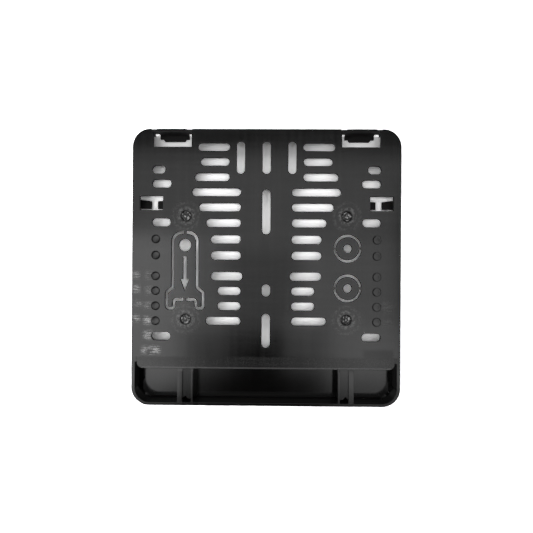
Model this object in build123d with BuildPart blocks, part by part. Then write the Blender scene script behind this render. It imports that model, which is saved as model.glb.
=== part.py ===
from build123d import *
import os

# Number plate holder for a two row motorcycle plate, moulded in one piece from black plastic.
# Millimetres. X runs across, Z up, and Y from the back, which lies on the vehicle, to the front.
# The origin is the middle of the back face. Everything is drawn as it is seen from behind.

# The plate that the holder takes
plate_width = 220.0
plate_height = 200.0
side_clearance = 1.1
top_clearance = 1.1
plate_rise = 0.2

# Walls
side_wall = 2.9
top_wall = 2.6
bottom_wall = 2.4
panel_thickness = 2.5
corner_radius = 15.2
front_bevel = 1.3

# Depths in front of the panel
bolt_head_room = 4.1
plate_room = 2.0
hook_thickness = 2.0

# Hollow strip along the bottom
strip_height = 31.1
strip_proud = 3.4
strip_front_wall = 2.0
strip_floor_bevel = 1.0
strip_side_slope = 2.6
strip_shoulder_drop = 7.0
strip_shoulder_round = 6.0
lip_overlap = 4.2

# Lower edge of the panel, with a relief gap between its rounded corners and the side walls
relief_gap = 1.4
relief_height = 5.6
apron_radius = 4.6
apron_edge_bevel = 0.7
band_height = 10.4
band_recess = 0.25

# Two stiffening channels inside the strip
channel_center = 68.3
channel_width = 13.7
channel_inner_wall = 1.9
channel_outer_wall = 4.6
channel_wall_recess = 0.7
channel_web = 2.0
channel_web_recess = 1.6
channel_web_gap = 2.6
channel_taper = 4.6
channel_dip_width = 4.6
channel_dip_height = 2.6

# Level bolt slots on each side of the middle: height, inner end and outer end
slot_width = 6.8
level_slots = (
    (102.3, 31.1, 58.2),
    (89.7, 31.6, 56.0),
    (76.7, 31.5, 60.9),
    (63.9, 21.9, 63.3),
    (51.0, 21.8, 57.1),
    (37.7, 21.8, 51.0),
    (23.7, 21.7, 47.0),
    (10.0, 21.7, 46.9),
    (-7.7, 20.3, 46.8),
    (-20.3, 21.7, 41.0),
    (-33.1, 21.7, 41.1),
    (-45.8, 21.8, 51.0),
)

# Short level slots near the sides: height and inner end, all with one outer end
outer_slot_end = 97.2
outer_slots = (
    (82.9, 86.1),
    (71.0, 81.0),
    (38.0, 81.5),
    (-58.9, 81.3),
)

# Upright slots: those on the middle line by height and length, and one pair beside the top one
top_upright_height = 93.5
top_upright_length = 27.8
upright_pair_offset = 21.9
middle_slots = (
    (47.4, 38.2),
    (-19.6, 10.1),
    (-53.9, 28.8),
)

# Shallow round drill marks in line with the outer slots, on the lower slot rows
first_dimple_row = 6
dimple_diameter = 6.8
dimple_depth = 0.5

# Break-out key, cut free by a slit except for two bridges
slit_width = 2.2
bridge_width = 2.3
key_offset = -69.1
key_top = 29.5
key_shank_width = 20.8
key_top_radius = 8.0
key_hole_height = 18.6
key_hole_diameter = 10.2
key_shoulder_top = -17.3
key_shoulder_bottom = -21.6
key_foot_span = 31.0
key_foot_width = 6.2
key_foot_bottom = -35.3
key_notch_top = -27.7
key_foot_radius = 2.5
key_bend_radius = 2.2
arrow_top = 9.1
arrow_barb_height = -10.4
arrow_tip = -20.3
arrow_shaft_width = 2.8
arrow_head_width = 7.0

# Two break-out washers
washer_offset = 69.2
washer_heights = (16.4, -17.4)
washer_slit_radius = 10.85
washer_slit_width = 1.75
washer_bridge_width = 2.2
washer_hole_diameter = 6.8

# Hooks on the top wall, each over a window in the panel
top_hook_center = 80.7
top_hook_width = 25.4
top_hook_shoulder = 2.9
top_hook_reach = 4.9
top_hook_tip_width = 19.5
top_hook_tip_chamfer = 1.2
top_window_width = 32.6
top_window_height = 12.7
top_window_shift = -0.5
hook_slit_width = 4.6
hook_slit_depth = 4.9
hook_notch_height = 1.4
hook_notch_depth = 1.0

# Hooks on the side walls, each over a window in the panel
side_hook_bottom = 51.0
side_hook_width = 7.9
side_hook_reach = 10.2
side_hook_tip_width = 6.6
side_window_height = 54.4
side_window_length = 19.7
side_window_width = 12.1
side_window_margin = 3.4

# Rests that carry the plate clear of the bolt heads
finger_bottom = 50.1
finger_width = 6.7
finger_reach = 6.2
finger_root = 2.4
finger_tip = 1.2
rib_thickness = 1.6
side_rib_inset = 6.6
side_rib_gap = 8.4
cross_rib_half = 56.0
top_rib_inset = 4.5
bottom_rib_inset = 13.0

# Worked out from the sizes above
cut_margin = 1.0
weld = 0.5
touch = 0.01
holder_width = plate_width + 2 * (side_clearance + side_wall)
holder_height = top_wall + top_clearance + plate_height + plate_rise + strip_height
half_width = holder_width / 2
top_edge = holder_height / 2
bottom_edge = -holder_height / 2
inner_half = half_width - side_wall
inner_top = top_edge - top_wall
inner_bottom = bottom_edge + bottom_wall
panel_edge = bottom_edge + strip_height
plate_bottom = panel_edge + plate_rise
seat_depth = panel_thickness + bolt_head_room
hook_back = seat_depth + plate_room
skirt_depth = hook_back + hook_thickness
strip_depth = skirt_depth + strip_proud
strip_floor = strip_depth - strip_front_wall
lip_top = plate_bottom + lip_overlap
shoulder = lip_top - strip_shoulder_drop
relief_top = panel_edge + relief_height
apron_half = inner_half - relief_gap
top_rib_height = inner_top - top_rib_inset
bottom_rib_height = panel_edge + bottom_rib_inset
side_rib_top = side_window_height - side_window_width / 2 - side_rib_gap
side_rib_bottom = bottom_rib_height
dimple_offset = outer_slot_end - slot_width / 2
dimple_ball = dimple_depth / 2 + dimple_diameter**2 / (8 * dimple_depth)
washer_slit_reach = 2 * (washer_slit_radius + washer_slit_width)


def back_plane(depth):
    """Plane level with the back face, at a depth towards the front, seen from behind."""
    return Plane.XZ.offset(-depth)


def strip_wall_depth(height):
    """Depth of the strip's inner face at a height on its sloping shoulder."""
    share = (lip_top - height) / (lip_top - shoulder)
    return hook_back + share * (strip_floor - hook_back)


def level_slot(height, inner_end, outer_end):
    """One level slot, in the open sketch."""
    with Locations(((inner_end + outer_end) / 2, height)):
        SlotOverall(outer_end - inner_end, slot_width)


def upright_slot(offset, height, length):
    """One upright slot, in the open sketch."""
    with Locations((offset, height)):
        SlotOverall(length, slot_width, rotation=90)


# Space inside the holder: the plate's room behind the hooks, and the hollow of the strip
with BuildPart() as interior:
    with BuildSketch(back_plane(-cut_margin)):
        with Locations((0, (inner_top + inner_bottom) / 2)):
            RectangleRounded(2 * inner_half, inner_top - inner_bottom, corner_radius - side_wall)
    extrude(amount=-(strip_depth + 2 * cut_margin))
    with BuildSketch(Plane.YZ):
        with BuildLine():
            Polyline(
                (-cut_margin, inner_bottom),
                (strip_floor, inner_bottom),
                (strip_floor, shoulder),
                (hook_back, lip_top),
                (strip_depth + cut_margin, lip_top),
                (strip_depth + cut_margin, inner_top),
                (panel_thickness, inner_top),
                (panel_thickness, relief_top),
                (-cut_margin, relief_top),
                close=True,
            )
        make_face()
    extrude(amount=holder_width, both=True, mode=Mode.INTERSECT)
    floor_face = interior.faces().filter_by(Axis.Y).sort_by(Axis.Y)[-2]
    chamfer(floor_face.edges().filter_by(lambda edge: edge.center().Z < shoulder - touch), strip_floor_bevel)
    with BuildSketch(Plane.XY.offset(inner_bottom - weld)):
        with BuildLine():
            Polyline(
                (inner_half + weld, strip_floor - strip_side_slope - weld),
                (inner_half + weld, strip_floor + weld),
                (inner_half - strip_side_slope - weld, strip_floor + weld),
                close=True,
            )
        make_face()
        mirror(about=Plane.YZ)
    extrude(amount=shoulder - inner_bottom + weld, mode=Mode.SUBTRACT)


# Outline of the break-out key, along the middle of its slit
key_right_side = (
    (key_shank_width / 2, key_top),
    (key_shank_width / 2, key_shoulder_top),
    (key_foot_span / 2, key_shoulder_bottom),
    (key_foot_span / 2, key_foot_bottom),
    (key_foot_span / 2 - key_foot_width, key_foot_bottom),
    (key_foot_span / 2 - key_foot_width, key_notch_top),
)
key_left_side = [(-across, height) for across, height in reversed(key_right_side)]
with BuildSketch() as key_outline:
    with BuildLine():
        Polyline(*key_right_side, *key_left_side, close=True)
    make_face()
    fillet(key_outline.vertices().group_by(Axis.Y)[-1], key_top_radius)
    fillet(key_outline.vertices().group_by(Axis.Y)[0], key_foot_radius)
    bend_low, bend_high = key_notch_top - touch, key_shoulder_top + touch
    fillet(key_outline.vertices().filter_by_position(Axis.Y, bend_low, bend_high), key_bend_radius)


def slit_edge(distance):
    """The key's outline, moved out from the middle of its slit."""
    return offset(key_outline.sketch, distance, kind=Kind.INTERSECTION, mode=Mode.PRIVATE)


with BuildPart() as plate_holder:
    # Outer form: the outline, cut to the holder's side profile
    with BuildSketch(back_plane(0)):
        RectangleRounded(holder_width, holder_height, corner_radius)
    extrude(amount=-strip_depth)
    with BuildSketch(Plane.YZ) as side_profile:
        with BuildLine():
            Polyline(
                (0, bottom_edge),
                (strip_depth, bottom_edge),
                (strip_depth, shoulder),
                (skirt_depth, lip_top),
                (skirt_depth, top_edge),
                (0, top_edge),
                close=True,
            )
        make_face()
        shoulders = side_profile.vertices().filter_by(lambda point: abs(point.Y) < top_edge - weld)
        fillet(shoulders, strip_shoulder_round)
    extrude(amount=holder_width, both=True, mode=Mode.INTERSECT)
    front_edges = plate_holder.edges().filter_by(Axis.Y, reverse=True)
    front_edges = front_edges.filter_by(lambda edge: edge.center().Y > panel_thickness)
    level_edges = front_edges.filter_by(Axis.X)
    crossing_edges = level_edges.filter_by(lambda edge: abs(edge.center().Z) < top_edge - weld)
    chamfer(front_edges - crossing_edges, front_bevel)

    # Plate room and strip hollow
    add(interior.part, mode=Mode.SUBTRACT)

    # Lower edge of the panel between the relief gaps, and the shallow band along it
    with BuildSketch(back_plane(0)) as apron:
        with Locations((0, panel_edge)):
            Rectangle(2 * apron_half, relief_height + weld, align=(Align.CENTER, Align.MIN))
        fillet(apron.vertices().group_by(Axis.Y)[0], apron_radius)
    extrude(amount=-panel_thickness)
    back_edges = plate_holder.edges().filter_by(lambda edge: abs(edge.center().Y) < touch)
    chamfer(back_edges.filter_by(lambda edge: abs(edge.center().Z - panel_edge) < touch), apron_edge_bevel)
    with BuildSketch(back_plane(-cut_margin)):
        with Locations((0, panel_edge)):
            Rectangle(2 * apron_half, 2 * band_height)
    extrude(amount=-(band_recess + cut_margin), mode=Mode.SUBTRACT)

    # Channels in the strip: two walls that also stop the plate, and a web between them
    inner_wall = channel_center - channel_width / 2
    outer_wall = channel_center + channel_width / 2 - channel_outer_wall
    for start, thickness in ((inner_wall, channel_inner_wall), (outer_wall, channel_outer_wall)):
        with BuildSketch(Plane.YZ.offset(start), Plane.YZ.offset(-start - thickness)):
            with BuildLine():
                Polyline(
                    (channel_wall_recess, inner_bottom - weld),
                    (strip_floor + weld, inner_bottom - weld),
                    (strip_floor + weld, shoulder),
                    (strip_wall_depth(plate_bottom) + weld, plate_bottom),
                    (channel_web_recess, plate_bottom),
                    (channel_wall_recess, plate_bottom - channel_taper),
                    close=True,
                )
            make_face()
        extrude(amount=thickness)
    with BuildSketch(back_plane(channel_web_recess)):
        web_bottom = inner_bottom + channel_web_gap
        with Locations((channel_center, web_bottom)):
            Rectangle(channel_width, panel_edge + weld - web_bottom, align=(Align.CENTER, Align.MIN))
        with BuildLine(Location((channel_center, web_bottom))):
            Polyline(
                (-channel_dip_width / 2, 0),
                (0, channel_dip_height),
                (channel_dip_width / 2, 0),
                close=True,
            )
        make_face(mode=Mode.SUBTRACT)
        mirror(about=Plane.YZ)
    extrude(amount=-channel_web)

    # Rests for the plate on the front of the panel
    with BuildSketch(back_plane(panel_thickness - weld)):
        with Locations((0, top_rib_height), (0, bottom_rib_height)):
            Rectangle(2 * cross_rib_half, rib_thickness)
        rib_middle = (side_rib_top + side_rib_bottom) / 2
        with Locations((inner_half - side_rib_inset, rib_middle), (side_rib_inset - inner_half, rib_middle)):
            Rectangle(rib_thickness, side_rib_top - side_rib_bottom)
    extrude(amount=-(bolt_head_room + weld))

    # Windows in the panel under the hooks
    side_window_center = inner_half - side_window_margin - side_window_length / 2
    with BuildSketch(back_plane(-cut_margin)):
        with Locations((top_hook_center + top_window_shift, inner_top)):
            Rectangle(top_window_width, top_window_height, align=(Align.CENTER, Align.MAX))
        with Locations((side_window_center, side_window_height)):
            Rectangle(side_window_length, side_window_width)
        mirror(about=Plane.YZ)
    extrude(amount=-(panel_thickness + cut_margin), mode=Mode.SUBTRACT)

    # Rest fingers that slope out from the panel into the side windows, opposite the side hooks
    window_inner = side_window_center - side_window_length / 2
    with BuildSketch(Plane.XY.offset(finger_bottom)):
        with BuildLine():
            Polyline(
                (window_inner - finger_root, panel_thickness - weld),
                (window_inner, panel_thickness - weld),
                (window_inner, panel_thickness),
                (window_inner + finger_reach, seat_depth - finger_tip),
                (window_inner + finger_reach, seat_depth),
                (window_inner - finger_root, seat_depth),
                close=True,
            )
        make_face()
        mirror(about=Plane.YZ)
    extrude(amount=finger_width)

    # Relief slits and notches in the top wall, on both sides of each top hook
    slit_offset = (top_hook_width + hook_slit_width) / 2
    slit_centers = (top_hook_center - slit_offset, top_hook_center + slit_offset)
    with BuildSketch(back_plane(skirt_depth + cut_margin)):
        with Locations(*[(center, inner_top - weld) for center in slit_centers]):
            Rectangle(hook_slit_width, top_wall + weld + cut_margin, align=(Align.CENTER, Align.MIN))
        mirror(about=Plane.YZ)
    extrude(amount=hook_slit_depth + cut_margin, mode=Mode.SUBTRACT)
    with BuildSketch(back_plane(-cut_margin)):
        with Locations(*[(center, top_edge - hook_notch_height) for center in slit_centers]):
            Rectangle(hook_slit_width, hook_notch_height + cut_margin, align=(Align.CENTER, Align.MIN))
        mirror(about=Plane.YZ)
    extrude(amount=-(hook_notch_depth + cut_margin), mode=Mode.SUBTRACT)

    # Top hooks: a wide root and a narrower tip with its corners cut
    with BuildSketch(back_plane(hook_back)) as top_hooks:
        with Locations((top_hook_center, inner_top + weld)):
            Rectangle(top_hook_width, top_hook_shoulder + weld, align=(Align.CENTER, Align.MAX))
            Rectangle(top_hook_tip_width, top_hook_reach + weld, align=(Align.CENTER, Align.MAX))
        chamfer(top_hooks.vertices().group_by(Axis.Y)[0], top_hook_tip_chamfer)
        mirror(about=Plane.YZ)
    extrude(amount=-hook_thickness)

    # Side hooks: tongues with a level lower edge, which narrow towards their tips
    with BuildSketch(back_plane(hook_back)):
        with BuildLine():
            Polyline(
                (inner_half + weld, side_hook_bottom),
                (inner_half + weld, side_hook_bottom + side_hook_width),
                (inner_half - side_hook_reach, side_hook_bottom + side_hook_tip_width),
                (inner_half - side_hook_reach, side_hook_bottom),
                close=True,
            )
        make_face()
        mirror(about=Plane.YZ)
    extrude(amount=-hook_thickness)

    # Bolt slots
    with BuildSketch(back_plane(-cut_margin)):
        for height, inner_end, outer_end in level_slots:
            level_slot(height, inner_end, outer_end)
        for height, inner_end in outer_slots:
            level_slot(height, inner_end, outer_slot_end)
        upright_slot(upright_pair_offset, top_upright_height, top_upright_length)
        mirror(about=Plane.YZ)
        upright_slot(0, top_upright_height, top_upright_length)
        for height, length in middle_slots:
            upright_slot(0, height, length)
    extrude(amount=-(panel_thickness + cut_margin), mode=Mode.SUBTRACT)

    # Drill marks, each the cap of a ball that dips into the back face
    ball_depth = dimple_depth - dimple_ball
    for row in level_slots[first_dimple_row:]:
        with Locations((dimple_offset, ball_depth, row[0]), (-dimple_offset, ball_depth, row[0])):
            Sphere(dimple_ball, mode=Mode.SUBTRACT)

    # Break-out key: slit, bridges, hole and arrow
    with BuildSketch(back_plane(-cut_margin)):
        with Locations((key_offset, 0)):
            add(slit_edge(slit_width / 2))
            add(slit_edge(-slit_width / 2), mode=Mode.SUBTRACT)
        with Locations((key_offset, key_top), (key_offset, key_notch_top)):
            Rectangle(bridge_width, 2 * slit_width, mode=Mode.SUBTRACT)
        with Locations((key_offset, key_hole_height)):
            Circle(key_hole_diameter / 2)
        with BuildLine(Location((key_offset, 0))):
            Polyline(
                (-arrow_shaft_width / 2, arrow_top),
                (arrow_shaft_width / 2, arrow_top),
                (arrow_shaft_width / 2, arrow_barb_height),
                (arrow_head_width / 2, arrow_barb_height),
                (0, arrow_tip),
                (-arrow_head_width / 2, arrow_barb_height),
                (-arrow_shaft_width / 2, arrow_barb_height),
                close=True,
            )
        make_face()
    extrude(amount=-(panel_thickness + cut_margin), mode=Mode.SUBTRACT)

    # Break-out washers: ring slit, bridges and hole
    with BuildSketch(back_plane(-cut_margin)):
        with Locations(*[(washer_offset, height) for height in washer_heights]):
            Circle(washer_slit_radius + washer_slit_width / 2)
            Circle(washer_slit_radius - washer_slit_width / 2, mode=Mode.SUBTRACT)
            Rectangle(washer_slit_reach, washer_bridge_width, mode=Mode.SUBTRACT)
            Circle(washer_hole_diameter / 2)
    extrude(amount=-(panel_thickness + cut_margin), mode=Mode.SUBTRACT)

os.makedirs("parts", exist_ok=True)
plate_holder.part.label = "plate_holder"
export_step(plate_holder.part, "parts/plate_holder.step")
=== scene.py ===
"""Looks of the number plate holder: one black moulding, face down on paper, seen from behind.

Metres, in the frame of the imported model: X across, Y from the back face to the front, Z up.
"""

import logging
import math
from dataclasses import dataclass
from enum import Enum

import bmesh
import bpy
from mathutils import Matrix, Vector, noise


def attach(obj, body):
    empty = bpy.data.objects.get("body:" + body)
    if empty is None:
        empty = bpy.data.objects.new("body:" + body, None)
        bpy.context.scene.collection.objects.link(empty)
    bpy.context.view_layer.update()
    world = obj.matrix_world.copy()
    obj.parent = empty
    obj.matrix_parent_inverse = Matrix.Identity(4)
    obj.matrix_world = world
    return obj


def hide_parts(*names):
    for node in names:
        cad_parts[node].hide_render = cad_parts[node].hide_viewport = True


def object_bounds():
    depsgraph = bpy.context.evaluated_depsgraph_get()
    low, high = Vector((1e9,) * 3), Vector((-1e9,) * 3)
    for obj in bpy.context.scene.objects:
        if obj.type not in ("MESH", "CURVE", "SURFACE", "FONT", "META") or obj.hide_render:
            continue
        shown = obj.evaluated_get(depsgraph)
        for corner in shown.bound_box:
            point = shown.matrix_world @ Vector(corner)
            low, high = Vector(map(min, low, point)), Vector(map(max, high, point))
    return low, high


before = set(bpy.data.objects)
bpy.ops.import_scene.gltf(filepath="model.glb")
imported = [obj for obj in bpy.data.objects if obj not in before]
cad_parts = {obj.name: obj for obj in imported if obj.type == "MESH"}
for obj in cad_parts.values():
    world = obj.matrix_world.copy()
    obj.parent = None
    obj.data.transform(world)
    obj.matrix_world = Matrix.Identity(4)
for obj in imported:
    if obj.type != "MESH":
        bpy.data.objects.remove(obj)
cad_low, cad_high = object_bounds()
log = logging.getLogger("plate_holder")

MM = 0.001
BODY = "root"
NODE = "plate_holder"
INNER_WALL = "inner_wall"
PLASTIC_IOR = 1.5
NOISE_MEAN = 0.5

Socket = bpy.types.NodeSocket
Outline = tuple[tuple[float, float], ...]


class Side(Enum):
    """Side of the holder, seen from behind."""

    LEFT = -1
    RIGHT = 1


class Level(Enum):
    """Upper or lower row of gates, with its height on the panel."""

    UPPER = 43.4 * MM
    LOWER = -44.3 * MM


@dataclass(frozen=True)
class GatePlan:
    """Where the four moulding gates were: torn discs, sunk a little, with a groove round each."""

    offset: float = 68.2 * MM
    groove_outer: float = 4.7 * MM
    groove_middle: float = 4.25 * MM
    groove_depth: float = 1.0 * MM
    disc_radius: float = 3.8 * MM
    disc_depth: float = 0.5 * MM

    def outline(self) -> Outline:
        """Radius and depth of each corner of one gate, from its rim to its middle."""
        return (
            (self.groove_outer, 0.0),
            (self.groove_middle, self.groove_depth),
            (self.disc_radius, self.disc_depth),
            (0.0, self.disc_depth),
        )

    def centre(self, side: Side, level: Level) -> Vector:
        """Centre of one gate on the back face."""
        return Vector((side.value * self.offset, 0.0, level.value))

    def centres(self) -> dict[str, Vector]:
        """Centres of all gates, by name."""
        return {
            f"{level.name.lower()}_{side.name.lower()}": self.centre(side, level)
            for level in Level
            for side in Side
        }


@dataclass(frozen=True)
class DrillMarks:
    """Drill marks in a column on each side: dished floors on the left, flatter ones on the right.

    A floor is given as radius and depth of its corners inside the mark's wall.
    """

    column: float = 93.8 * MM
    rows: tuple[float, ...] = (
        23.7 * MM, 10.0 * MM, -7.7 * MM, -20.3 * MM, -33.1 * MM, -45.8 * MM,
    )
    radius: float = 3.5 * MM
    left_wall: float = 0.5 * MM
    left_floor: Outline = ((2.6 * MM, 0.7 * MM), (1.4 * MM, 0.84 * MM), (0.0, 0.88 * MM))
    right_wall: float = 0.66 * MM
    right_floor: Outline = ((2.4 * MM, 0.59 * MM), (1.2 * MM, 0.55 * MM), (0.0, 0.53 * MM))
    rim_round: float = 0.35 * MM
    rim_segments: int = 4

    @property
    def depth(self) -> float:
        """Depth of the deepest mark."""
        return max(depth for _, depth in self.left_floor)

    def outline(self, side: Side) -> Outline:
        """Radius and depth of each corner of a mark on one side, from its wall to its middle."""
        if side is Side.LEFT:
            return ((self.radius, self.left_wall), *self.left_floor)
        return ((self.radius, self.right_wall), *self.right_floor)

    def centres(self, side: Side) -> list[Vector]:
        """Centres of the marks on one side of the back face."""
        return [Vector((side.value * self.column, 0.0, row)) for row in self.rows]

    def holds(self, point: Vector, reach: float) -> bool:
        """Tells whether a point lies in a mark.

        Args:
            point: place on the holder.
            reach: how far outside the mark's edge still counts.

        Returns:
            True inside a mark's circle.
        """
        return any(
            math.hypot(point.x - centre.x, point.z - centre.z) < self.radius + reach
            for side in Side
            for centre in self.centres(side)
        )


class Wiring:
    """Adds nodes to a node tree and joins them."""

    def __init__(self, tree: bpy.types.NodeTree) -> None:
        """Starts from an empty tree."""
        self.tree = tree
        tree.nodes.clear()

    def node(self, kind: str, **settings: object) -> bpy.types.Node:
        """Adds one node.

        Args:
            kind: Blender's name for the node.
            settings: properties that the node gets.

        Returns:
            The new node.
        """
        made = self.tree.nodes.new(kind)
        for name, value in settings.items():
            setattr(made, name, value)
        return made

    def feed(self, socket: Socket, value: object) -> None:
        """Joins another socket to this one, or sets a constant on it."""
        if isinstance(value, Socket):
            self.tree.links.new(value, socket)
        else:
            socket.default_value = value

    def end(self, shader: bpy.types.Node, kind: str = "ShaderNodeOutputMaterial") -> None:
        """Makes a shader the result of the tree."""
        self.feed(self.node(kind).inputs["Surface"], shader.outputs[0])

    def math(self, operation: str, *values: object, clamp: bool = False) -> Socket:
        """Adds a math node.

        Args:
            operation: Blender's name for the operation.
            values: its inputs, as numbers or sockets.
            clamp: whether the result stays between 0 and 1.

        Returns:
            The node's result.
        """
        made = self.node("ShaderNodeMath", operation=operation, use_clamp=clamp)
        for socket, value in zip(made.inputs, values):
            self.feed(socket, value)
        return made.outputs[0]

    def mean(self, first: Socket, second: Socket | float) -> Socket:
        """Mean of two values."""
        return self.math("MULTIPLY", self.math("ADD", first, second), 0.5)

    def length(self, first: Socket, second: Socket) -> Socket:
        """Distance that is given by its two parts at right angles."""
        squares = [self.math("MULTIPLY", part, part) for part in (first, second)]
        return self.math("SQRT", self.math("ADD", *squares))

    def sway(self, clouds: Socket, depth: float, base: Socket | float) -> Socket:
        """Lets a value sway with noise.

        Args:
            clouds: the noise.
            depth: how far the value sways over the noise's whole range.
            base: the value at the noise's mean.

        Returns:
            The swaying value.
        """
        return self.math("MULTIPLY_ADD", self.math("SUBTRACT", clouds, NOISE_MEAN), depth, base)

    def spread(
        self, value: Socket, low: float, high: float, to_low: float = 0.0, to_high: float = 1.0
    ) -> Socket:
        """Maps a range of values smoothly onto another.

        Args:
            value: what is mapped.
            low: value that gives to_low.
            high: value that gives to_high.
            to_low: result at the low end and below.
            to_high: result at the high end and above.

        Returns:
            The mapped value.
        """
        made = self.node("ShaderNodeMapRange", interpolation_type="SMOOTHSTEP")
        limits = {"From Min": low, "From Max": high, "To Min": to_low, "To Max": to_high}
        self.feed(made.inputs["Value"], value)
        for name, limit in limits.items():
            self.feed(made.inputs[name], limit)
        return made.outputs["Result"]

    def window(self, value: Socket, low: float, high: float, edge: float) -> Socket:
        """Marks the values between two limits.

        Args:
            value: what is tested.
            low: lower limit.
            high: upper limit.
            edge: half the width of the soft edge at each limit.

        Returns:
            1 between the limits and 0 outside.
        """
        above = self.spread(value, low - edge, low + edge)
        return self.math("SUBTRACT", above, self.spread(value, high - edge, high + edge))

    def place(self) -> Socket:
        """Coordinates on the piece."""
        return self.node("ShaderNodeTexCoord").outputs["Object"]

    def axes(self, place: Socket) -> tuple[Socket, Socket, Socket]:
        """Splits coordinates into the place across, the depth and the height."""
        split = self.node("ShaderNodeSeparateXYZ")
        self.feed(split.inputs[0], place)
        return split.outputs["X"], split.outputs["Y"], split.outputs["Z"]

    def plastic(self, colour: Socket, roughness: Socket, relief: Socket, height: float) -> None:
        """Ends the tree in a plastic surface.

        Args:
            colour: its colour or grey tone.
            roughness: its roughness.
            relief: its fine relief, as a share of the height.
            height: height of the relief.
        """
        shader = self.node("ShaderNodeBsdfPrincipled")
        self.feed(shader.inputs["IOR"], PLASTIC_IOR)
        self.feed(shader.inputs["Base Color"], colour)
        self.feed(shader.inputs["Roughness"], roughness)
        bump = self.node("ShaderNodeBump")
        self.feed(bump.inputs["Strength"], 1.0)
        self.feed(bump.inputs["Distance"], height)
        self.feed(bump.inputs["Height"], relief)
        self.feed(shader.inputs["Normal"], bump.outputs[0])
        self.end(shader)


def start_material(name: str) -> tuple[bpy.types.Material, Wiring]:
    """Starts a material.

    Args:
        name: the material's name.

    Returns:
        The material, and the wiring of its empty node tree.
    """
    material = bpy.data.materials.new(name)
    material.use_nodes = True
    return material, Wiring(material.node_tree)


@dataclass(frozen=True)
class Clouds:
    """Noise on a piece: clouds in a metre, detail, factors on coordinates, and a mask's range."""

    scale: float
    detail: float = 2.0
    stretch: tuple[float, float, float] = (1.0, 1.0, 1.0)
    low: float = 0.0
    high: float = 1.0

    def plain(self, wiring: Wiring, place: Socket) -> Socket:
        """The noise as it is.

        Args:
            wiring: node tree that it is added to.
            place: coordinates that it follows.

        Returns:
            The noise, around its mean.
        """
        mapping = wiring.node("ShaderNodeMapping")
        wiring.feed(mapping.inputs["Scale"], self.stretch)
        wiring.feed(mapping.inputs["Vector"], place)
        made = wiring.node("ShaderNodeTexNoise")
        wiring.feed(made.inputs["Vector"], mapping.outputs[0])
        wiring.feed(made.inputs["Scale"], self.scale)
        wiring.feed(made.inputs["Detail"], self.detail)
        return made.outputs["Fac"]

    def mask(self, wiring: Wiring, place: Socket) -> Socket:
        """The noise as a mask.

        Args:
            wiring: node tree that it is added to.
            place: coordinates that it follows.

        Returns:
            0 at the low end of the range and below, 1 at its high end and above.
        """
        return wiring.spread(self.plain(wiring, place), self.low, self.high)


@dataclass(frozen=True)
class RubAndHighlightPatch:
    """Area of the back face, as a box, where the finish is rubbed or duller, or where a highlight
    is painted along an edge.
    """

    low_x: float
    high_x: float
    low_z: float
    high_z: float
    strength: float
    edge: float = 2.6 * MM

    def mask(self, wiring: Wiring, x: Socket, z: Socket) -> Socket:
        """Soft mask of the area.

        Args:
            wiring: node tree that it is added to.
            x: place across.
            z: height.

        Returns:
            The mask, from 0 outside to the strength inside.
        """
        across = wiring.window(x, self.low_x, self.high_x, self.edge)
        up = wiring.window(z, self.low_z, self.high_z, self.edge)
        return wiring.math("MULTIPLY", wiring.math("MULTIPLY", across, up), self.strength)


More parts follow.
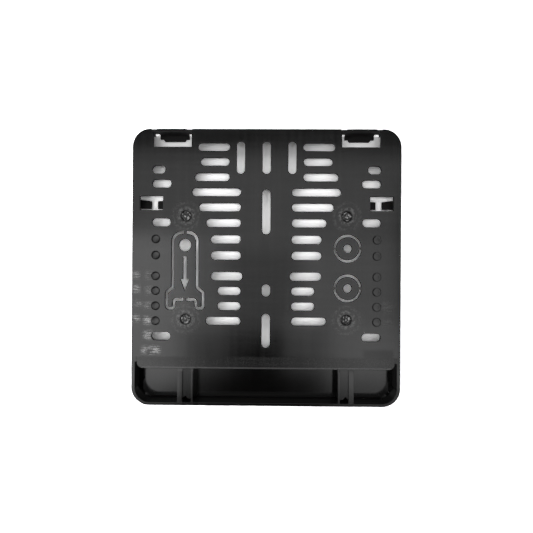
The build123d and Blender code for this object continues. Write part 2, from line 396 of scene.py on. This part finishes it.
@dataclass(frozen=True)
class SatinPlastic:
    """Satin black plastic: flow streaks, halos round the gates, rubbed rows, rough inner walls, a
    painted highlight along the panel's lower edge.

    A tone is added to the base colour, a depth to the roughness, and a relief to the grain.
    """

    gates: GatePlan
    name: str = "satin_black_plastic"
    black: float = 0.001
    roughness: float = 0.17
    wall_roughness: float = 0.85
    back_start: float = 0.72 * MM
    back_end: float = 1.2 * MM
    grain: Clouds = Clouds(2600.0)
    grain_height: float = 0.004 * MM
    blotches: Clouds = Clouds(26.0, 3.0)
    blotch_depth: float = 0.06
    upright_streaks: Clouds = Clouds(300.0, 3.0, (1.0, 1.0, 0.03))
    level_streaks: Clouds = Clouds(300.0, 3.0, (0.05, 1.0, 1.0))
    streak_low: float = 0.4
    streak_high: float = 0.64
    streak_tone: float = 0.008
    streak_depth: float = 0.04
    streak_relief: float = 0.8
    halo_wander: Clouds = Clouds(90.0)
    halo_wobble: float = 3.0 * MM
    halo_speckle: Clouds = Clouds(420.0, 3.0, low=0.36, high=0.66)
    halo_peak: float = 6.3 * MM
    halo_pitch: float = 5.6 * MM
    halo_inner: float = 7.0 * MM
    halo_outer: float = 14.5 * MM
    halo_tone: float = 0.11
    halo_relief: float = 2.0
    band_low: float = -86.4 * MM
    band_high: float = -76.0 * MM
    band_edge: float = 1.0 * MM
    band_flecks: Clouds = Clouds(1100.0, low=0.3, high=0.75)
    band_tone: float = 0.012
    band_depth: float = 0.08
    rub_streaks: Clouds = Clouds(850.0, 2.0, (0.16, 1.0, 1.0), low=0.36, high=0.6)
    rub_flecks: Clouds = Clouds(1400.0, low=0.3, high=0.64)
    # pale tone of the rubbed patches, also used for the painted highlight along the panel's lower
    # edge
    rub_and_highlight_tone: float = 0.75
    rub_depth: float = 0.2
    rub_relief: float = 2.0
    patches: tuple[RubAndHighlightPatch, ...] = (
        RubAndHighlightPatch(-105.0 * MM, -90.0 * MM, -73.6 * MM, -68.0 * MM, 0.85),
        RubAndHighlightPatch(-103.5 * MM, -97.0 * MM, -61.0 * MM, -54.5 * MM, 0.85),
        RubAndHighlightPatch(-103.5 * MM, -97.5 * MM, -48.5 * MM, -42.5 * MM, 0.85),
        RubAndHighlightPatch(-103.0 * MM, -97.5 * MM, -35.5 * MM, -30.5 * MM, 0.45),
        RubAndHighlightPatch(-102.0 * MM, -97.0 * MM, -23.0 * MM, -16.5 * MM, 0.25),
        RubAndHighlightPatch(-102.0 * MM, -97.0 * MM, -10.0 * MM, -4.0 * MM, 0.22),
        RubAndHighlightPatch(-112.5 * MM, -107.5 * MM, -46.0 * MM, -41.5 * MM, 0.85),
        RubAndHighlightPatch(-111.0 * MM, -105.0 * MM, -33.5 * MM, -29.0 * MM, 0.4),
        RubAndHighlightPatch(-112.5 * MM, -108.0 * MM, -21.5 * MM, -16.0 * MM, 0.85),
        RubAndHighlightPatch(-112.5 * MM, -108.0 * MM, -9.5 * MM, -4.5 * MM, 0.6),
        RubAndHighlightPatch(97.5 * MM, 107.0 * MM, -37.0 * MM, -29.0 * MM, 0.06),
        RubAndHighlightPatch(97.5 * MM, 107.0 * MM, -49.0 * MM, -43.0 * MM, 0.05),
    )
    dull: RubAndHighlightPatch = RubAndHighlightPatch(83.0 * MM, 108.0 * MM, -76.0 * MM, -69.5 * MM, 0.08, 2.0 * MM)
    # painted highlight: a pale line across the whole width of the panel's lower edge, where light
    # catches the rounded edge
    lower_edge_highlight: RubAndHighlightPatch = RubAndHighlightPatch(-106.0 * MM, 106.0 * MM, -86.9 * MM, -84.9 * MM, 0.1, 0.5 * MM)

    def gate_distance(self, wiring: Wiring, x: Socket, z: Socket) -> Socket:
        """Distance to the nearest gate on the panel.

        Args:
            wiring: node tree that it is added to.
            x: place across.
            z: height.

        Returns:
            The distance.
        """
        across = wiring.math("SUBTRACT", wiring.math("ABSOLUTE", x), self.gates.offset)
        heights = [
            wiring.math("ABSOLUTE", wiring.math("SUBTRACT", z, level.value)) for level in Level
        ]
        return wiring.length(across, wiring.math("MINIMUM", *heights))

    def halo(self, wiring: Wiring, distance: Socket, place: Socket) -> Socket:
        """Uneven rings round each gate, where the plastic flowed in.

        Args:
            wiring: node tree that they are added to.
            distance: distance to the nearest gate.
            place: coordinates on the piece.

        Returns:
            The rings' strength, from 0 to 1.
        """
        uneven = wiring.sway(self.halo_wander.plain(wiring, place), self.halo_wobble, distance)
        past_peak = wiring.math("SUBTRACT", uneven, self.halo_peak)
        angle = wiring.math("MULTIPLY", past_peak, 2 * math.pi / self.halo_pitch)
        rings = wiring.mean(wiring.math("COSINE", angle), 1.0)
        fade = wiring.spread(uneven, self.halo_inner, self.halo_outer, 1.0, 0.0)
        faded = wiring.math("MULTIPLY", rings, fade)
        return wiring.math("MULTIPLY", faded, self.halo_speckle.mask(wiring, place))

    def rubs(self, wiring: Wiring, place: Socket, x: Socket, z: Socket) -> Socket:
        """Pale level streaks in the rubbed patches.

        Args:
            wiring: node tree that they are added to.
            place: coordinates on the piece.
            x: place across.
            z: height.

        Returns:
            The streaks' mask, from 0 to 1.
        """
        area, *others = [patch.mask(wiring, x, z) for patch in self.patches]
        for other in others:
            area = wiring.math("MAXIMUM", area, other)
        streaks = self.rub_streaks.mask(wiring, place)
        flecks = self.rub_flecks.mask(wiring, place)
        return wiring.math("MULTIPLY", wiring.math("MULTIPLY", streaks, flecks), area, clamp=True)

    def make(self) -> bpy.types.Material:
        """Makes the material.

        Returns:
            The material, ready for a piece.
        """
        material, wiring = start_material(self.name)
        place = wiring.place()
        x, y, z = wiring.axes(place)
        on_back = wiring.spread(y, self.back_start, self.back_end, 1.0, 0.0)
        wall = wiring.node("ShaderNodeAttribute", attribute_name=INNER_WALL).outputs["Fac"]
        halo = self.halo(wiring, self.gate_distance(wiring, x, z), place)
        halo = wiring.math("MULTIPLY", halo, on_back)
        rubs = wiring.math("MULTIPLY", self.rubs(wiring, place, x, z), on_back)
        # painted highlight along the panel's lower edge
        edge_highlight = wiring.math("MULTIPLY", self.lower_edge_highlight.mask(wiring, x, z), on_back)
        band = wiring.window(z, self.band_low, self.band_high, self.band_edge)
        flecks = wiring.math("MULTIPLY", band, self.band_flecks.mask(wiring, place))
        upright = self.upright_streaks.plain(wiring, place)
        streaks = wiring.mean(upright, self.level_streaks.plain(wiring, place))
        pale_streaks = wiring.spread(streaks, self.streak_low, self.streak_high)
        pale_streaks = wiring.math("MULTIPLY", pale_streaks, on_back)

        tone = wiring.math("MULTIPLY_ADD", pale_streaks, self.streak_tone, self.black)
        tone = wiring.math("MULTIPLY_ADD", halo, self.halo_tone, tone)
        tone = wiring.math("MULTIPLY_ADD", flecks, self.band_tone, tone)
        tone = wiring.math("MULTIPLY_ADD", wiring.math("ADD", rubs, edge_highlight), self.rub_and_highlight_tone, tone)

        rough = wiring.sway(upright, self.streak_depth, self.roughness)
        rough = wiring.sway(self.blotches.plain(wiring, place), self.blotch_depth, rough)
        rough = wiring.math("MULTIPLY_ADD", rubs, self.rub_depth, rough)
        rough = wiring.math("MULTIPLY_ADD", band, self.band_depth, rough)
        rough = wiring.math("ADD", rough, self.dull.mask(wiring, x, z))
        rough = wiring.math("MAXIMUM", rough, wiring.math("MULTIPLY", wall, self.wall_roughness))

        relief = self.grain.plain(wiring, place)
        relief = wiring.math("MULTIPLY_ADD", halo, self.halo_relief, relief)
        relief = wiring.math("MULTIPLY_ADD", streaks, self.streak_relief, relief)
        relief = wiring.math("MULTIPLY_ADD", rubs, self.rub_relief, relief)

        wiring.plastic(tone, rough, relief, self.grain_height)
        return material


@dataclass(frozen=True)
class TornPlastic:
    """Rough, paler plastic where a runner was broken off a gate."""

    name: str = "torn_black_plastic"
    dark: tuple[float, float, float] = (0.012, 0.012, 0.012)
    pale: tuple[float, float, float] = (0.5, 0.5, 0.5)
    fibres: Clouds = Clouds(520.0, 3.0)
    pale_low: float = 0.5
    pale_high: float = 0.64
    rough_low: float = 0.3
    rough_high: float = 0.7
    least_rough: float = 0.3
    most_rough: float = 0.6
    relief_height: float = 0.1 * MM

    def make(self) -> bpy.types.Material:
        """Makes the material.

        Returns:
            The material, ready for a piece.
        """
        material, wiring = start_material(self.name)
        fibres = self.fibres.plain(wiring, wiring.place())
        tint = wiring.node("ShaderNodeMix", data_type="RGBA")
        wiring.feed(tint.inputs["Factor"], wiring.spread(fibres, self.pale_low, self.pale_high))
        wiring.feed(tint.inputs["A"], (*self.dark, 1.0))
        wiring.feed(tint.inputs["B"], (*self.pale, 1.0))
        rough = wiring.spread(
            fibres, self.rough_low, self.rough_high, self.least_rough, self.most_rough
        )
        wiring.plastic(tint.outputs["Result"], rough, fibres, self.relief_height)
        return material


@dataclass(frozen=True)
class EdgeShade:
    """Painted shade that grows towards an edge of the holder, and the share of white left at its
    end.
    """

    start: float
    end: float
    left: float

    def factor(self, wiring: Wiring, reach: Socket) -> Socket:
        """Factor on the paper's white, by how far a place reaches towards the edge."""
        return wiring.spread(reach, self.start, self.end, 1.0, self.left)


@dataclass(frozen=True)
class WhitePaper:
    """White paper that stays white for the camera, with its own shade where little light reaches
    it and painted shade under the top and the sides of the holder.
    """

    name: str = "white_paper"
    matte_white: float = 0.8
    seen_white: float = 2.28
    glow: float = 0.05
    mirrored: float = 0.3
    top_shade: EdgeShade = EdgeShade(74.0 * MM, 108.0 * MM, 0.55)
    side_shade: EdgeShade = EdgeShade(80.0 * MM, 106.0 * MM, 0.75)
    open_half_width: float = 112.0 * MM
    open_half_height: float = 115.5 * MM
    open_corner: float = 13.5 * MM
    open_gain: float = 1.5

    def shade(self, wiring: Wiring) -> Socket:
        """Painted shade on the paper under the top and the sides of the holder.

        Args:
            wiring: node tree that it is added to.

        Returns:
            Factor on the paper's white: 1 under the middle, and more on the open paper.
        """
        x, _, z = wiring.axes(wiring.place())
        across = wiring.math("ABSOLUTE", x)
        # painted shade: the paper's colour darkens towards the holder's top and sides
        painted_shade_factor = wiring.math(
            "MULTIPLY", self.top_shade.factor(wiring, z), self.side_shade.factor(wiring, across)
        )
        reaches = (
            (across, self.open_half_width - self.open_corner),
            (wiring.math("ABSOLUTE", z), self.open_half_height - self.open_corner),
        )
        past = [
            wiring.math("MAXIMUM", wiring.math("SUBTRACT", reach, limit), 0.0)
            for reach, limit in reaches
        ]
        is_open = wiring.math("GREATER_THAN", wiring.length(*past), self.open_corner)
        return wiring.math("MAXIMUM", painted_shade_factor, wiring.math("MULTIPLY", is_open, self.open_gain))

    def make(self) -> bpy.types.Material:
        """Makes the material.

        Returns:
            The material, clear from its back and to the light of the lamps there.
        """
        material, wiring = start_material(self.name)
        rays = wiring.node("ShaderNodeLightPath").outputs
        mirrored = wiring.math("MULTIPLY", rays["Is Glossy Ray"], self.mirrored)
        seen = wiring.math("MAXIMUM", mirrored, rays["Is Transmission Ray"])
        seen = wiring.math("MAXIMUM", rays["Is Camera Ray"], seen)
        whiter = self.seen_white - self.matte_white
        white = wiring.math("MULTIPLY_ADD", seen, whiter, self.matte_white)
        matte = wiring.node("ShaderNodeBsdfDiffuse")
        wiring.feed(matte.inputs["Color"], wiring.math("MULTIPLY", white, self.shade(wiring)))
        glow = wiring.node("ShaderNodeEmission")
        wiring.feed(glow.inputs["Strength"], wiring.math("MULTIPLY", seen, self.glow))
        front = wiring.node("ShaderNodeAddShader")
        wiring.feed(front.inputs[0], matte.outputs[0])
        wiring.feed(front.inputs[1], glow.outputs[0])
        clear = wiring.node("ShaderNodeBsdfTransparent")
        sheet = wiring.node("ShaderNodeMixShader")
        behind = wiring.node("ShaderNodeNewGeometry").outputs["Backfacing"]
        wiring.feed(sheet.inputs["Fac"], wiring.math("MAXIMUM", behind, rays["Is Shadow Ray"]))
        wiring.feed(sheet.inputs[1], front.outputs[0])
        wiring.feed(sheet.inputs[2], clear.outputs[0])
        wiring.end(sheet)
        return material


def add_piece(
    name: str, bm: bmesh.types.BMesh, finish: bpy.types.Material | None = None
) -> bpy.types.Object:
    """Makes an object of a bmesh and frees the bmesh.

    Args:
        name: the object's name.
        bm: its mesh, in place.
        finish: its material, if it has one.

    Returns:
        The new object, in the scene.
    """
    mesh = bpy.data.meshes.new(name)
    bm.to_mesh(mesh)
    bm.free()
    piece = bpy.data.objects.new(name, mesh)
    bpy.context.scene.collection.objects.link(piece)
    if finish is not None:
        mesh.materials.clear()
        mesh.materials.append(finish)
    return piece


def corner_places(element: bmesh.types.BMEdge | bmesh.types.BMFace) -> list[tuple[float, ...]]:
    """Places of an edge's or a face's corners, lowest first."""
    return sorted(tuple(vert.co) for vert in element.verts)


def settle_order(bm: bmesh.types.BMesh) -> None:
    """Puts a mesh in an order that follows its shape alone, as a cut's own order differs by run.

    Args:
        bm: mesh that is put in order.
    """
    for place, vert in enumerate(sorted(bm.verts, key=lambda vert: tuple(vert.co))):
        vert.index = place
    bm.verts.sort()
    for elements in (bm.edges, bm.faces):
        for place, element in enumerate(sorted(elements, key=corner_places)):
            element.index = place
        elements.sort()


@dataclass
class Moulding:
    """The holder itself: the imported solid, with recesses cut into it and its edges rounded.

    A share is the part of the inner walls' roughness that another rough face gets.
    """

    finish: SatinPlastic
    gates: GatePlan
    marks: DrillMarks
    edge_round: float = 0.2 * MM
    edge_segments: int = 2
    edge_room: float = 0.44 * MM
    sharp_angle: float = math.radians(25)
    flat_angle: float = math.radians(0.5)
    merge_gap: float = 0.002 * MM
    pit_radius: float = 0.9 * MM
    pit_depth: float = 1.6 * MM
    pit_places: tuple[tuple[float, float], ...] = (
        (-79.0 * MM, -31.8 * MM), (-55.2 * MM, -31.4 * MM),
    )
    cutter_segments: int = 40
    skirt_half_width: float = 112.5 * MM
    skirt_half_height: float = 116.2 * MM
    skirt_corner: float = 13.75 * MM
    wall_lean: float = 0.75
    inner_low: float = 3.0 * MM
    inner_high: float = 11.0 * MM
    inner_bottom: float = -88.0 * MM
    floor_edges: float = 9.0 * MM
    bottom_wall: float = -114.6 * MM
    bottom_wall_share: float = 0.5
    mark_floor_share: float = 0.36

    def drill(self, bm: bmesh.types.BMesh, centre: Vector, radius: float, depth: float) -> None:
        """Adds one round cutter through the back face.

        Args:
            bm: mesh of the cutters.
            centre: centre of the recess on the back face.
            radius: radius of the recess.
            depth: depth of the recess.
        """
        made = bmesh.ops.create_cone(
            bm, cap_ends=True, segments=self.cutter_segments, radius1=radius, radius2=radius,
            depth=2 * depth,
        )
        bmesh.ops.rotate(bm, verts=made["verts"], matrix=Matrix.Rotation(math.pi / 2, 3, "X"))
        bmesh.ops.translate(bm, verts=made["verts"], vec=centre)

    def turn(self, bm: bmesh.types.BMesh, centre: Vector, outline: Outline) -> None:
        """Adds one cutter, turned from the outline of its recess.

        Args:
            bm: mesh of the cutters.
            centre: centre of the recess on the back face.
            outline: radius and depth of each corner, from the rim to the middle.
        """
        clear = max(depth for _, depth in outline)
        corners = ((0.0, -clear), (outline[0][0], -clear), *outline)
        verts = [bm.verts.new(centre + Vector((radius, depth, 0.0))) for radius, depth in corners]
        edges = [bm.edges.new(pair) for pair in zip(verts, verts[1:])]
        bmesh.ops.spin(
            bm, geom=verts + edges, cent=centre, axis=(0.0, 1.0, 0.0), angle=2 * math.pi,
            steps=self.cutter_segments, use_merge=True,
        )

    def cutters(self) -> bpy.types.Object:
        """Cutters of the gates, the drill marks and the pits in the key's feet."""
        bm = bmesh.new()
        for centre in self.gates.centres().values():
            self.turn(bm, centre, self.gates.outline())
        for side in Side:
            for centre in self.marks.centres(side):
                self.turn(bm, centre, self.marks.outline(side))
        for across, height in self.pit_places:
            self.drill(bm, Vector((across, 0.0, height)), self.pit_radius, self.pit_depth)
        bmesh.ops.remove_doubles(bm, verts=bm.verts, dist=self.merge_gap)
        bmesh.ops.recalc_face_normals(bm, faces=bm.faces)
        return add_piece("recess_cutters", bm)

    def cut(self, solid: bpy.types.Object) -> bmesh.types.BMesh:
        """Cuts the recesses into the solid.

        Args:
            solid: object that is cut, and removed.

        Returns:
            The mesh that is left.
        """
        cutters = self.cutters()
        difference = solid.modifiers.new("recesses", "BOOLEAN")
        difference.operation = "DIFFERENCE"
        difference.solver = "EXACT"
        difference.object = cutters
        graph = bpy.context.evaluated_depsgraph_get()
        mesh = bpy.data.meshes.new_from_object(solid.evaluated_get(graph))
        bm = bmesh.new()
        bm.from_mesh(mesh)
        bpy.data.meshes.remove(mesh)
        for used in (solid, cutters):
            bpy.data.meshes.remove(used.data)
        settle_order(bm)
        return bm

    def has_room(self, edge: bmesh.types.BMEdge) -> bool:
        """Tells whether both faces beside an edge are deep enough for its rounding.

        Args:
            edge: a sharp edge.

        Returns:
            True where the rounding fits.
        """
        start, line = edge.verts[0].co, (edge.verts[1].co - edge.verts[0].co).normalized()
        return all(
            any((vert.co - start).cross(line).length > self.edge_room for vert in face.verts)
            for face in edge.link_faces
        )

    def sharp_edges(self, bm: bmesh.types.BMesh) -> list[bmesh.types.BMEdge]:
        """All edges of a mesh where its faces meet at a clear angle."""
        return [
            edge for edge in bm.edges
            if edge.is_manifold and edge.calc_face_angle() > self.sharp_angle
        ]

    def is_rim(self, edge: bmesh.types.BMEdge) -> bool:
        """Tells whether an edge is part of a drill mark's rim on the back face."""
        return all(
            vert.co.y < self.merge_gap and self.marks.holds(vert.co, self.edge_round)
            for vert in edge.verts
        )

    def stays_sharp(self, edge: bmesh.types.BMEdge) -> bool:
        """Tells whether an edge lies deep in the strip, where a rounding would shine."""
        return all(
            vert.co.y > self.floor_edges and vert.co.z < self.inner_bottom for vert in edge.verts
        )

    def bevel(
        self, bm: bmesh.types.BMesh, edges: list[bmesh.types.BMEdge], width: float, segments: int
    ) -> None:
        """Rounds edges.

        Args:
            bm: mesh that they belong to.
            edges: the edges.
            width: how far the rounding reaches on each side.
            segments: how many faces it has.
        """
        bmesh.ops.bevel(
            bm, geom=edges, offset=width, offset_type="OFFSET", segments=segments, profile=0.5,
            affect="EDGES", clamp_overlap=False, material=-1,
        )

    def round_edges(self, bm: bmesh.types.BMesh) -> None:
        """Joins flat stretches into faces and rounds the sharp edges.

        Args:
            bm: closed mesh of the moulding.
        """
        bmesh.ops.remove_doubles(bm, verts=bm.verts, dist=self.merge_gap)
        bmesh.ops.dissolve_limit(bm, angle_limit=self.flat_angle, verts=bm.verts, edges=bm.edges)
        rims = [edge for edge in self.sharp_edges(bm) if self.is_rim(edge)]
        self.bevel(bm, rims, self.marks.rim_round, self.marks.rim_segments)
        sharp = self.sharp_edges(bm)
        for edge in sharp:
            edge.smooth = not self.stays_sharp(edge)
        rounded = [edge for edge in sharp if edge.smooth and self.has_room(edge)]
        self.bevel(bm, rounded, self.edge_round, self.edge_segments)
        for face in bm.faces:
            face.smooth = True

    def is_inside(self, face: bmesh.types.BMFace) -> bool:
        """Tells whether a face is an inner wall, or lies deep behind a window.

        Args:
            face: face of the moulding.

        Returns:
            True for the walls inside the skirt's outline and for what the windows show.
        """
        centre, normal = face.calc_center_median(), face.normal
        if centre.z < self.inner_bottom:
            return False
        if normal.y < -self.wall_lean:
            return self.inner_low < centre.y < self.inner_high
        across, up = abs(centre.x), abs(centre.z)
        if across > self.skirt_half_width or up > self.skirt_half_height:
            return False
        past_x = across - (self.skirt_half_width - self.skirt_corner)
        past_z = up - (self.skirt_half_height - self.skirt_corner)
        in_corner = past_x > 0 and past_z > 0
        outside_corner = in_corner and math.hypot(past_x, past_z) > self.skirt_corner
        return abs(normal.y) < self.wall_lean and not outside_corner

    def is_bottom_wall(self, face: bmesh.types.BMFace) -> bool:
        """Tells whether a face is the strip's bottom wall, seen from inside the strip."""
        centre = face.calc_center_median()
        low = centre.z < self.bottom_wall and centre.y > self.inner_low
        return low and face.normal.z > self.wall_lean

    def is_mark_floor(self, face: bmesh.types.BMFace) -> bool:
        """Tells whether a face is the floor of a drill mark on the left."""
        centre = face.calc_center_median()
        sunk = self.marks.rim_round < centre.y < self.marks.depth + self.edge_round
        return sunk and centre.x < 0 and self.marks.holds(centre, 0.0)

    def mark_walls(self, bm: bmesh.types.BMesh) -> None:
        """Marks the rough faces: inner walls, the strip's bottom wall, the left marks' floors.

        Args:
            bm: mesh of the moulding.
        """
        layer = bm.faces.layers.float.new(INNER_WALL)
        for face in bm.faces:
            if self.is_inside(face):
                face[layer] = 1.0
            elif self.is_bottom_wall(face):
                face[layer] = self.bottom_wall_share
            elif self.is_mark_floor(face):
                face[layer] = self.mark_floor_share

    def build(self) -> bpy.types.Object:
        """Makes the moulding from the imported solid.

        Returns:
            The moulding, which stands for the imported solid.
        """
        bm = bmesh.new()
        bm.from_mesh(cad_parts[NODE].data)
        bmesh.ops.remove_doubles(bm, verts=bm.verts, dist=self.merge_gap)
        bm = self.cut(add_piece("uncut_moulding", bm))
        self.round_edges(bm)
        self.mark_walls(bm)
        piece = add_piece("moulding", bm, self.finish.make())
        normals = piece.modifiers.new("flat_faces", "WEIGHTED_NORMAL")
        normals.keep_sharp = True
        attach(piece, BODY)
        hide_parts(NODE)
        return piece


@dataclass
class GateStub:
    """Torn stub of a runner, left standing on a gate's disc."""

    name: str
    centre: Vector
    gates: GatePlan
    foot_radius: float = 3.75 * MM
    head_radius: float = 3.3 * MM
    height: float = 0.42 * MM
    head_lean: float = 0.9
    tear: float = 0.45 * MM
    tear_scale: float = 620.0
    tear_seed: int = 7
    lowest: float = 0.02 * MM
    rings: int = 4
    segments: int = 24

    def build(self, finish: bpy.types.Material) -> bpy.types.Object:
        """Makes the stub.

        Args:
            finish: material of torn plastic.

        Returns:
            The stub, in its recess.
        """
        bm = bmesh.new()
        bmesh.ops.create_cone(
            bm, cap_ends=True, segments=self.segments, radius1=self.foot_radius,
            radius2=self.head_radius, depth=self.height,
        )
        bmesh.ops.rotate(bm, verts=bm.verts, matrix=Matrix.Rotation(math.pi / 2, 3, "X"))
        floor = self.gates.disc_depth
        bmesh.ops.translate(bm, verts=bm.verts, vec=(0.0, floor - self.height / 2, 0.0))
        head = [face for face in bm.faces if face.normal.y < -self.head_lean]
        for _ in range(self.rings):
            bmesh.ops.inset_region(bm, faces=head, thickness=self.head_radius / (self.rings + 1))
        bmesh.ops.triangulate(bm, faces=bm.faces)
        bmesh.ops.subdivide_edges(bm, edges=bm.edges, cuts=1, use_grid_fill=True)
        noise.seed_set(self.tear_seed)
        for vert in bm.verts:
            rise = max(0.0, floor - vert.co.y) / self.height
            pull = noise.noise_vector((vert.co + self.centre) * self.tear_scale)
            vert.co += pull * self.tear * rise
            vert.co.y = min(max(vert.co.y, self.lowest), floor)
        bmesh.ops.translate(bm, verts=bm.verts, vec=self.centre)
        piece = add_piece(self.name, bm, finish)
        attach(piece, BODY)
        return piece


@dataclass(frozen=True)
class Softbox:
    """One soft lamp that faces the holder, with its place and reach in degrees from there."""

    name: str
    across: float
    up: float
    half_width: float
    half_height: float
    brightness: float
    through_paper: bool = False
    distance: float = 0.9

    def place(self) -> Vector:
        """Where the lamp stands: 0 across is behind the holder, and positive is to the right."""
        around = Matrix.Rotation(math.radians(self.across), 3, "Z")
        raised = Matrix.Rotation(math.radians(-self.up), 3, "X")
        return around @ raised @ Vector((0.0, -self.distance, 0.0))

    def build(self) -> bpy.types.Object:
        """Makes the lamp.

        Returns:
            The lamp, aimed at the origin.
        """
        lamp = bpy.data.lights.new(self.name, "AREA")
        lamp.shape = "RECTANGLE"
        lamp.size = 2 * self.distance * math.tan(math.radians(self.half_width))
        lamp.size_y = 2 * self.distance * math.tan(math.radians(self.half_height))
        lamp.energy = self.brightness * math.pi * lamp.size * lamp.size_y
        lamp.cycles.use_multiple_importance_sampling = not self.through_paper
        holder = bpy.data.objects.new(self.name, lamp)
        bpy.context.scene.collection.objects.link(holder)
        holder.location = self.place()
        holder.rotation_euler = (-self.place()).to_track_quat("-Z", "Y").to_euler()
        return holder


@dataclass
class Studio:
    """Paper under the holder, soft lamps, surroundings and the camera."""

    camera_distance: float = 262 * MM
    frame_width: float = 451.6 * MM
    aim_across: float = 0.42 * MM
    aim_up: float = 0.85 * MM
    roll: float = math.radians(-0.36)
    turn: float = math.radians(0.45)
    paper_half: float = 0.9
    top_front: float = 10.65 * MM
    strip_front: float = 14.05 * MM
    strip_shoulder: float = -89.0 * MM
    surround: float = 0.006
    lamps: tuple[Softbox, ...] = (
        Softbox("lamp_left_high", -27.25, -2.85, 8.75, 9.15, 1.85),
        Softbox("lamp_left_low", -28.3, -19.75, 7.7, 7.75, 1.85),
        Softbox("lamp_left_edge", -23.0, -9.0, 13.0, 15.6, 0.7),
        Softbox("lamp_far_left", -46.0, -10.8, 9.5, 15.4, 2.7),
        Softbox("lamp_right_high", 19.5, -3.75, 10.5, 8.75, 1.5),
        Softbox("lamp_right_low", 18.0, -18.5, 13.0, 6.0, 0.92),
        Softbox("lamp_right_edge", 23.25, -20.75, 7.75, 8.25, 1.05),
        Softbox("lamp_upper", -1.7, 15.5, 30.5, 10.7, 1.18),
        Softbox("lamp_centre", -4.1, -5.0, 15.0, 10.5, 0.82),
        Softbox("lamp_above", 0.0, 44.0, 26.0, 8.0, 2.4),
        Softbox("lamp_front_left", 150.0, 8.0, 22.0, 30.0, 1.3, through_paper=True),
        Softbox("lamp_front_right", -152.0, -8.0, 24.0, 28.0, 1.0, through_paper=True),
    )

    def lay_paper(self) -> None:
        """Lays the paper on the plane that the holder's front rests on."""
        top = cad_high.z
        lean = math.atan2(self.strip_front - self.top_front, top - self.strip_shoulder)
        bm = bmesh.new()
        bmesh.ops.create_grid(bm, x_segments=1, y_segments=1, size=self.paper_half)
        bmesh.ops.rotate(bm, verts=bm.verts, matrix=Matrix.Rotation(math.pi / 2 + lean, 3, "X"))
        depth = self.top_front + top * math.tan(lean)
        bmesh.ops.translate(bm, verts=bm.verts, vec=(0.0, depth, 0.0))
        add_piece("paper", bm, WhitePaper().make())

    def light(self) -> None:
        """Adds the lamps and the surroundings, which the camera sees as white."""
        for lamp in self.lamps:
            lamp.build()
        world = bpy.data.worlds.new("studio")
        bpy.context.scene.world = world
        world.use_nodes = True
        wiring = Wiring(world.node_tree)
        rays = wiring.node("ShaderNodeLightPath").outputs
        seen = wiring.math("MAXIMUM", rays["Is Camera Ray"], rays["Is Transmission Ray"])
        sky = wiring.node("ShaderNodeBackground")
        strength = wiring.math("MULTIPLY_ADD", seen, 1.0 - self.surround, self.surround)
        wiring.feed(sky.inputs["Strength"], strength)
        wiring.end(sky, "ShaderNodeOutputWorld")

    def place_camera(self) -> None:
        """Sets the camera square on to the back, as the photograph was taken."""
        data = bpy.data.cameras.new("camera")
        data.lens = data.sensor_width * self.camera_distance / self.frame_width
        camera = bpy.data.objects.new("camera", data)
        bpy.context.scene.collection.objects.link(camera)
        aim = Vector((self.aim_across, 0.0, self.aim_up))
        turned = Matrix.Rotation(self.turn, 3, "Z")
        camera.location = aim + turned @ Vector((0.0, -self.camera_distance, 0.0))
        level = Matrix.Rotation(math.pi / 2, 3, "X")
        camera.rotation_euler = (turned @ Matrix.Rotation(self.roll, 3, "Y") @ level).to_euler()
        bpy.context.scene.camera = camera
        bpy.context.scene.view_settings.view_transform = "Standard"

    def build(self) -> None:
        """Sets up everything round the holder."""
        self.lay_paper()
        self.light()
        self.place_camera()


def main() -> None:
    """Builds the holder and its studio, and reports each piece."""
    logging.basicConfig(level=logging.INFO, format="%(message)s")
    gates = GatePlan()
    pieces = [Moulding(SatinPlastic(gates), gates, DrillMarks()).build()]
    torn = TornPlastic().make()
    for name, centre in gates.centres().items():
        pieces.append(GateStub(f"gate_stub_{name}", centre, gates).build(torn))
    Studio().build()
    for piece in pieces:
        log.info("%s: %d faces", piece.name, len(piece.data.polygons))


if __name__ == "__main__":
    main()
